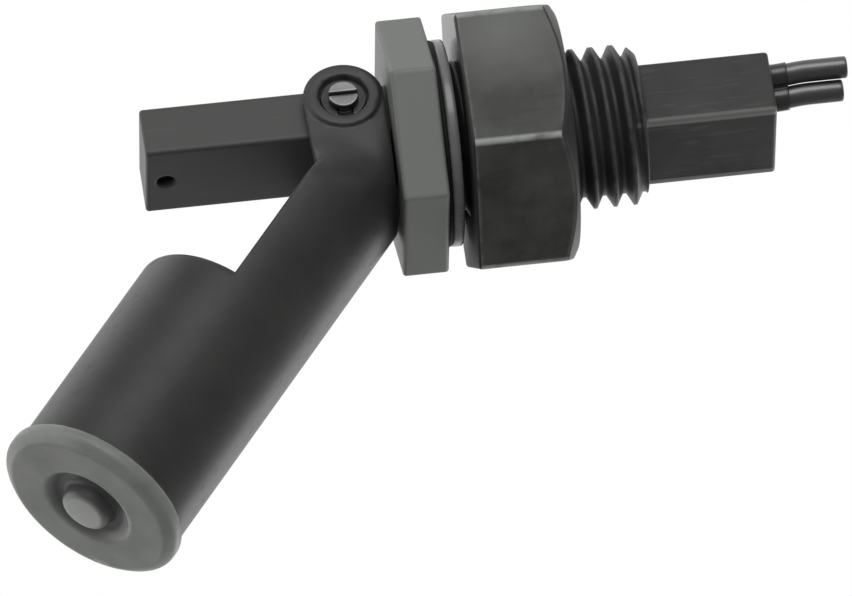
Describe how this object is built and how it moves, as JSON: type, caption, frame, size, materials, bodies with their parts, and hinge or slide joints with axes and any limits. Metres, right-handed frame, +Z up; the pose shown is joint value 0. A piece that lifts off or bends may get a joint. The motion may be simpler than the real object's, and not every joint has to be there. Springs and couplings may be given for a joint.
{
  "type": "float level switch",
  "caption": "Side-mounted float level switch: a hinged hollow float on a flat stem, a hexagon flange, a threaded shank with washer and nut, and a cable end.",
  "frame": {"origin": "centre of the flange's sealing face, on the thread axis", "axes": "+X along the thread axis, out of the tank towards the nut and leads; +Z up as installed, so the float hangs below the stem; -Y towards the near ear of the float"},
  "size_m": [0.088, 0.0268, 0.0591],
  "materials": {
    "body_plastic": "moulded dark grey polypropylene, slightly grained",
    "float_plastic": "moulded near-black polypropylene, satin",
    "cap_plastic": "moulded dark grey polypropylene, satin",
    "nut_plastic": "moulded near-black polypropylene, satin with worn highlights",
    "gasket_rubber": "black nitrile rubber",
    "washer_plastic": "smooth grey plastic",
    "pin_steel": "turned stainless steel",
    "clip_steel": "dark sprung stainless steel",
    "magnet_iron": "sintered ferrite, matt",
    "plug_resin": "black resin",
    "reed_glass": "clear greenish reed glass",
    "blade_metal": "plated nickel-iron",
    "cushion_rubber": "soft silicone",
    "crimp_metal": "tinned crimp",
    "sleeve_plastic": "shrink sleeve",
    "jacket_plastic": "glossy black PVC",
    "wire_copper": "stranded copper, drawn solid",
    "potting_resin": "dark grey epoxy"
  },
  "bodies": {
    "switch": {"switch_body": "body_plastic", "sealing_gasket": "gasket_rubber", "near_pivot_pin": "pin_steel", "far_pivot_pin": "pin_steel", "near_pivot_clip": "clip_steel", "far_pivot_clip": "clip_steel", "reed_glass": "reed_glass", "front_reed_blade": "blade_metal", "rear_reed_blade": "blade_metal", "reed_cushion": "cushion_rubber", "near_crimp": "crimp_metal", "far_crimp": "crimp_metal", "near_joint_sleeve": "sleeve_plastic", "far_joint_sleeve": "sleeve_plastic", "near_lead_jacket": "jacket_plastic", "far_lead_jacket": "jacket_plastic", "near_lead_wire": "wire_copper", "far_lead_wire": "wire_copper", "potting_core": "potting_resin", "potting_plug": "potting_resin"},
    "washer": {"flat_washer": "washer_plastic"},
    "nut": {"hex_nut": "nut_plastic"},
    "float": {"float_shell": "float_plastic", "float_end_cap": "cap_plastic", "magnet": "magnet_iron", "magnet_plug": "plug_resin"}
  },
  "joints": [
    {"name": "float_hinge", "type": "hinge", "parent": "switch", "child": "float", "pos_m": [-0.0089, 0, 0.0021], "axis": [0, 1, 0], "range_deg": [0, 52.5]},
    {"name": "washer_slide", "type": "slide", "parent": "switch", "child": "washer", "axis": [1, 0, 0], "range_m": [0, 0.0171]},
    {"name": "nut_spin", "type": "hinge", "parent": "washer", "child": "nut", "pos_m": [0.0025, 0, 0], "axis": [1, 0, 0], "range_deg": [0, 3060]}
  ],
  "couplings": [
    {"joint": "washer_slide", "follows": "nut_spin", "m_per_rad": 0.00031831}
  ]
}
